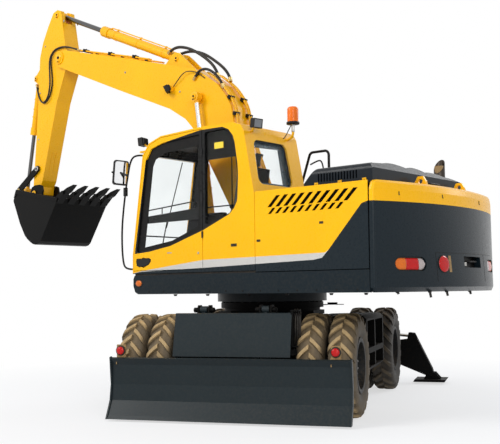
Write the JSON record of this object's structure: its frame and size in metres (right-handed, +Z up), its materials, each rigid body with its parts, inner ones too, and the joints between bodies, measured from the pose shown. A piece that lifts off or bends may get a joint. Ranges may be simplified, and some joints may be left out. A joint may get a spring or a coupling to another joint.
{
  "type": "wheeled excavator",
  "caption": "Wheeled excavator with a slewing upper structure, cab, one-piece boom, arm, digging bucket, dozer blade, twin-tyre axles and fold-out stabilisers.",
  "frame": {"origin": "on the ground, straight below the axis about which the upper structure slews", "axes": "+X along the undercarriage toward the steered axle and the stabilisers (the dozer blade is at -X), +Y to the undercarriage's left, +Z up; at rest the upper structure faces 66 degrees to the left of +X"},
  "size_m": [4.6095, 7.0591, 5.5],
  "materials": {
    "yellow_paint": "gloss",
    "dark_paint": "satin",
    "black_paint": "satin",
    "counterweight_paint": "satin paint",
    "engine_casting": "matte",
    "rod_chrome": "polished",
    "rim_paint": "satin",
    "tyre_rubber": "matte",
    "window_glass": "clear",
    "seat_fabric": "woven",
    "control_plastic": "matte",
    "lamp_plastic": "gloss",
    "exhaust_steel": "brushed"
  },
  "bodies": {
    "undercarriage": {"chassis_frame": "dark_paint", "slew_ring": "dark_paint", "rear_axle": "dark_paint", "front_axle": "dark_paint", "gearbox_and_shafts": "dark_paint", "side_step_boxes": "dark_paint", "blade_guard": "dark_paint", "stabiliser_beam": "dark_paint"},
    "rear_left_wheels": {"rear_left_tyres": "tyre_rubber", "rear_left_rims": "rim_paint"},
    "rear_right_wheels": {"rear_right_tyres": "tyre_rubber", "rear_right_rims": "rim_paint"},
    "front_left_wheels": {"front_left_tyres": "tyre_rubber", "front_left_rims": "rim_paint"},
    "front_right_wheels": {"front_right_tyres": "tyre_rubber", "front_right_rims": "rim_paint"},
    "knuckle_left": {"knuckle_left": "dark_paint"},
    "knuckle_right": {"knuckle_right": "dark_paint"},
    "blade_arms": {"blade_arms": "dark_paint"},
    "blade_link": {"blade_link": "dark_paint"},
    "dozer_blade": {"dozer_blade": "dark_paint"},
    "blade_cylinder_barrels": {"blade_cylinder_barrels": "dark_paint"},
    "blade_cylinder_rods": {"blade_cylinder_rods": "rod_chrome"},
    "upper": {"counterweight": "counterweight_paint", "lifting_eyes": "yellow_paint", "turntable_frame": "dark_paint", "side_skirts": "dark_paint", "engine_block": "engine_casting", "cab_shell": "yellow_paint", "cab_glass": "window_glass", "operator_seat": "seat_fabric", "cab_controls": "control_plastic", "right_tank_covers": "yellow_paint", "engine_bay_frame": "dark_paint", "handrail": "black_paint", "exhaust_pipe": "exhaust_steel", "roof_lamps": "lamp_plastic"},
    "cab_door": {"cab_door": "yellow_paint", "door_glass": "window_glass"},
    "left_side_door": {"left_side_door": "yellow_paint"},
    "right_side_door": {"right_side_door": "yellow_paint"},
    "engine_hood": {"engine_hood": "black_paint"},
    "boom": {"boom": "yellow_paint"},
    "boom_cylinder_barrels": {"boom_cylinder_barrels": "yellow_paint"},
    "boom_cylinder_rods": {"boom_cylinder_rods": "rod_chrome"},
    "arm": {"arm": "yellow_paint"},
    "arm_cylinder_barrel": {"arm_cylinder_barrel": "yellow_paint"},
    "arm_cylinder_rod": {"arm_cylinder_rod": "rod_chrome"},
    "bucket": {"bucket": "black_paint"},
    "bucket_cylinder_barrel": {"bucket_cylinder_barrel": "yellow_paint"},
    "bucket_cylinder_rod": {"bucket_cylinder_rod": "rod_chrome"},
    "bucket_rocker": {"bucket_rocker": "black_paint"},
    "bucket_link": {"bucket_link": "black_paint"},
    "stabiliser_leg_left": {"stabiliser_leg_left": "dark_paint"},
    "stabiliser_barrel_left": {"stabiliser_barrel_left": "dark_paint"},
    "stabiliser_rod_left": {"stabiliser_rod_left": "rod_chrome"},
    "stabiliser_leg_right": {"stabiliser_leg_right": "dark_paint"},
    "stabiliser_barrel_right": {"stabiliser_barrel_right": "dark_paint"},
    "stabiliser_rod_right": {"stabiliser_rod_right": "rod_chrome"}
  },
  "joints": [
    {"name": "swing", "type": "hinge", "parent": "undercarriage", "child": "upper", "pos_m": [0, 0, 1.165], "axis": [0, 0, 1], "continuous": true},
    {"name": "rear_left_wheel_spin", "type": "hinge", "parent": "undercarriage", "child": "rear_left_wheels", "pos_m": [-1.11, 0, 0.527], "axis": [0, 1, 0], "continuous": true},
    {"name": "rear_right_wheel_spin", "type": "hinge", "parent": "undercarriage", "child": "rear_right_wheels", "pos_m": [-1.11, 0, 0.527], "axis": [0, 1, 0], "continuous": true},
    {"name": "front_left_wheel_spin", "type": "hinge", "parent": "knuckle_left", "child": "front_left_wheels", "pos_m": [1.545, 0, 0.527], "axis": [0, 1, 0], "continuous": true},
    {"name": "front_right_wheel_spin", "type": "hinge", "parent": "knuckle_right", "child": "front_right_wheels", "pos_m": [1.545, 0, 0.527], "axis": [0, 1, 0], "continuous": true},
    {"name": "left_steering", "type": "hinge", "parent": "undercarriage", "child": "knuckle_left", "pos_m": [1.545, 0.68, 0.527], "axis": [0, 0, 1], "range_deg": [-30, 30]},
    {"name": "right_steering", "type": "hinge", "parent": "undercarriage", "child": "knuckle_right", "pos_m": [1.545, -0.68, 0.527], "axis": [0, 0, 1], "range_deg": [-30, 30]},
    {"name": "blade_lift", "type": "hinge", "parent": "undercarriage", "child": "blade_arms", "pos_m": [-1.29, 0, 0.36], "axis": [0, 1, 0], "range_deg": [-15, 17]},
    {"name": "blade_link_pivot", "type": "hinge", "parent": "undercarriage", "child": "blade_link", "pos_m": [-1.29, 0, 0.6], "axis": [0, 1, 0], "range_deg": [-15, 17]},
    {"name": "blade_foot_pivot", "type": "hinge", "parent": "blade_arms", "child": "dozer_blade", "pos_m": [-1.68, 0, 0.236], "axis": [0, 1, 0], "range_deg": [-17, 15]},
    {"name": "blade_cylinder_pivot", "type": "hinge", "parent": "undercarriage", "child": "blade_cylinder_barrels", "pos_m": [-1.45, 0, 1.1], "axis": [0, 1, 0], "range_deg": [-3, 3]},
    {"name": "blade_cylinder_stroke", "type": "slide", "parent": "blade_cylinder_barrels", "child": "blade_cylinder_rods", "axis": [-0.0978, 0, -0.9952], "range_m": [-0.073, 0.065]},
    {"name": "left_stabiliser_swing", "type": "hinge", "parent": "undercarriage", "child": "stabiliser_leg_left", "pos_m": [2.39, 0.5, 0.44], "axis": [1, 0, 0], "range_deg": [-5, 42]},
    {"name": "left_stabiliser_cylinder_pivot", "type": "hinge", "parent": "undercarriage", "child": "stabiliser_barrel_left", "pos_m": [2.39, 0.23, 0.735], "axis": [1, 0, 0], "range_deg": [-5, 34]},
    {"name": "left_stabiliser_cylinder_stroke", "type": "slide", "parent": "stabiliser_barrel_left", "child": "stabiliser_rod_left", "axis": [0, 0.9964, -0.0845], "range_m": [-0.241, 0.032]},
    {"name": "right_stabiliser_swing", "type": "hinge", "parent": "undercarriage", "child": "stabiliser_leg_right", "pos_m": [2.39, -0.5, 0.44], "axis": [-1, 0, 0], "range_deg": [-5, 42]},
    {"name": "right_stabiliser_cylinder_pivot", "type": "hinge", "parent": "undercarriage", "child": "stabiliser_barrel_right", "pos_m": [2.39, -0.23, 0.735], "axis": [-1, 0, 0], "range_deg": [-5, 34]},
    {"name": "right_stabiliser_cylinder_stroke", "type": "slide", "parent": "stabiliser_barrel_right", "child": "stabiliser_rod_right", "axis": [0, -0.9964, -0.0845], "range_m": [-0.241, 0.032]},
    {"name": "cab_door_hinge", "type": "hinge", "parent": "upper", "child": "cab_door", "pos_m": [-1.15912, 0.46244, 1.8], "axis": [0, 0, 1], "range_deg": [0, 150]},
    {"name": "left_side_door_hinge", "type": "hinge", "parent": "upper", "child": "left_side_door", "pos_m": [-2.0015, -1.46891, 1.5], "axis": [0, 0, 1], "range_deg": [0, 90]},
    {"name": "right_side_door_hinge", "type": "hinge", "parent": "upper", "child": "right_side_door", "pos_m": [0.24765, -2.4703, 1.5], "axis": [0, 0, -1], "range_deg": [0, 90]},
    {"name": "hood_hinge", "type": "hinge", "parent": "upper", "child": "engine_hood", "pos_m": [-0.54462, -1.22324, 2.322], "axis": [-0.9135, 0.4067, 0], "range_deg": [0, 55]},
    {"name": "boom_lift", "type": "hinge", "parent": "upper", "child": "boom", "pos_m": [-0.03254, -0.07308, 1.62], "axis": [0.9135, -0.4067, 0], "range_deg": [-70, 6]},
    {"name": "boom_cylinder_pivot", "type": "hinge", "parent": "upper", "child": "boom_cylinder_barrels", "pos_m": [0.26031, 0.58467, 1.4], "axis": [-0.9135, 0.4067, 0], "range_deg": [-8, 82]},
    {"name": "boom_cylinder_stroke", "type": "slide", "parent": "boom_cylinder_barrels", "child": "boom_cylinder_rods", "axis": [0.06, 0.1347, 0.9891], "range_m": [-0.809, 0.073]},
    {"name": "arm_swing", "type": "hinge", "parent": "boom", "child": "arm", "pos_m": [1.56756, 3.5208, 4.743], "axis": [-0.9135, 0.4067, 0], "range_deg": [-72, 38]},
    {"name": "arm_cylinder_pivot", "type": "hinge", "parent": "boom", "child": "arm_cylinder_barrel", "pos_m": [0.60197, 1.35205, 4.325], "axis": [-0.9135, 0.4067, 0], "range_deg": [-7, 4]},
    {"name": "arm_cylinder_stroke", "type": "slide", "parent": "arm_cylinder_barrel", "child": "arm_cylinder_rod", "axis": [0.3719, 0.8354, 0.4048], "range_m": [-0.755, 0.401]},
    {"name": "bucket_curl", "type": "hinge", "parent": "arm", "child": "bucket", "pos_m": [1.80794, 4.06071, 2.785], "axis": [-0.9135, 0.4067, 0], "range_deg": [-128, 3]},
    {"name": "bucket_rocker_pivot", "type": "hinge", "parent": "arm", "child": "bucket_rocker", "pos_m": [1.78964, 4.0196, 3.15], "axis": [-0.9135, 0.4067, 0], "range_deg": [-85, 3]},
    {"name": "bucket_link_pivot", "type": "hinge", "parent": "bucket_rocker", "child": "bucket_link", "pos_m": [1.97471, 4.43526, 2.862], "axis": [-0.9135, 0.4067, 0], "range_deg": [-3, 64]},
    {"name": "bucket_cylinder_pivot", "type": "hinge", "parent": "arm", "child": "bucket_cylinder_barrel", "pos_m": [1.84252, 4.13836, 4.56], "axis": [-0.9135, 0.4067, 0], "range_deg": [-8, 2]},
    {"name": "bucket_cylinder_stroke", "type": "slide", "parent": "bucket_cylinder_barrel", "child": "bucket_cylinder_rod", "axis": [0.0765, 0.1717, -0.9822], "range_m": [-0.721, 0.021]}
  ],
  "couplings": [
    {"joint": "right_steering", "follows": "left_steering", "ratio": 1},
    {"joint": "blade_link_pivot", "follows": "blade_lift", "ratio": 1},
    {"joint": "blade_foot_pivot", "follows": "blade_lift", "ratio": -1},
    {"joint": "blade_cylinder_pivot", "follows": "blade_lift", "ratio": 0.11462},
    {"joint": "blade_cylinder_stroke", "follows": "blade_lift", "m_per_rad": -0.23225},
    {"joint": "left_stabiliser_cylinder_pivot", "follows": "left_stabiliser_swing", "ratio": 0.78243},
    {"joint": "left_stabiliser_cylinder_stroke", "follows": "left_stabiliser_swing", "m_per_rad": -0.32367},
    {"joint": "right_stabiliser_cylinder_pivot", "follows": "right_stabiliser_swing", "ratio": 0.78243},
    {"joint": "right_stabiliser_cylinder_stroke", "follows": "right_stabiliser_swing", "m_per_rad": -0.32367},
    {"joint": "boom_cylinder_pivot", "follows": "boom_lift", "ratio": -1.1506},
    {"joint": "boom_cylinder_stroke", "follows": "boom_lift", "m_per_rad": 0.65864},
    {"joint": "arm_cylinder_pivot", "follows": "arm_swing", "ratio": 0.075022},
    {"joint": "arm_cylinder_stroke", "follows": "arm_swing", "m_per_rad": 0.59787},
    {"joint": "bucket_rocker_pivot", "follows": "bucket_curl", "ratio": 0.65446},
    {"joint": "bucket_link_pivot", "follows": "bucket_curl", "ratio": -0.48538},
    {"joint": "bucket_cylinder_pivot", "follows": "bucket_curl", "ratio": 0.053972},
    {"joint": "bucket_cylinder_stroke", "follows": "bucket_curl", "m_per_rad": 0.32081}
  ]
}
